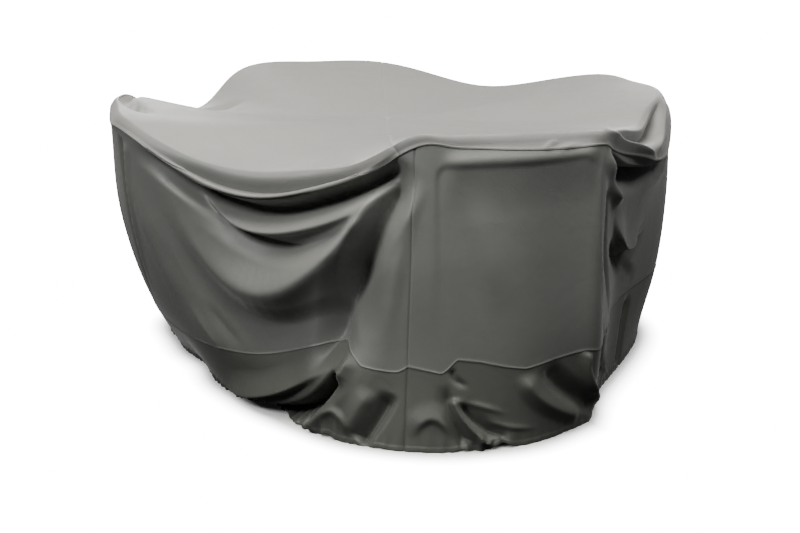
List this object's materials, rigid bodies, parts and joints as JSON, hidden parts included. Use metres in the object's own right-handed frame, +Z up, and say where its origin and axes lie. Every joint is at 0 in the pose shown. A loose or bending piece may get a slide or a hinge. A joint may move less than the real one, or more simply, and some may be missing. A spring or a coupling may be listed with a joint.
{
  "type": "patio furniture cover",
  "caption": "Draped coated-cloth cover for a round outdoor dining set: seamed top, side wall and gathered hem band, hollow and open at the bottom.",
  "frame": {"origin": "middle of the outline seen from above, on the floor that the hem touches", "axes": "+Z up, -Y towards the viewer of the picture, +X to the viewer's right"},
  "size_m": [2.0042, 2.0718, 0.9188],
  "materials": {
    "top_panel_left_cloth": "coated, satin",
    "top_panel_right_cloth": "coated, satin",
    "wall_panel_left_cloth": "coated, satin",
    "wall_panel_right_cloth": "coated, satin",
    "hem_band_left_cloth": "coated, satin",
    "hem_band_right_cloth": "coated, satin"
  },
  "bodies": {
    "root": {"top_panel_left": "top_panel_left_cloth", "top_panel_right": "top_panel_right_cloth", "wall_panel_left": "wall_panel_left_cloth", "wall_panel_right": "wall_panel_right_cloth", "hem_band_left": "hem_band_left_cloth", "hem_band_right": "hem_band_right_cloth"}
  },
  "joints": []
}
